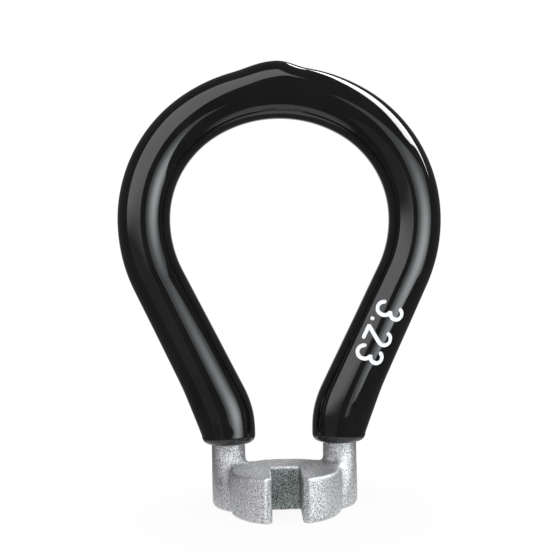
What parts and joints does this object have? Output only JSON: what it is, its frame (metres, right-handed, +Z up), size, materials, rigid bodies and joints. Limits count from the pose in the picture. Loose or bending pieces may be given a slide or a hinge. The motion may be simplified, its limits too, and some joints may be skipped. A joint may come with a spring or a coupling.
{
  "type": "spoke wrench",
  "caption": "Small bicycle spoke wrench: a slotted cast steel head under a teardrop finger loop of round rod, dipped in glossy black vinyl.",
  "frame": {"origin": "where the axis of a held nipple meets the plane of the head's underside", "axes": "+Z up along the nipple and its spoke, from the head to the top of the loop; the slot opens towards -Y; +X to the right as seen from the slot's side"},
  "size_m": [0.0372, 0.0133, 0.0508],
  "materials": {
    "cast_steel": "satin, with a fine cast grain",
    "black_vinyl": "high gloss dip"
  },
  "bodies": {
    "root": {"wrench_body": "cast_steel", "dipped_grip": "black_vinyl"}
  },
  "joints": []
}
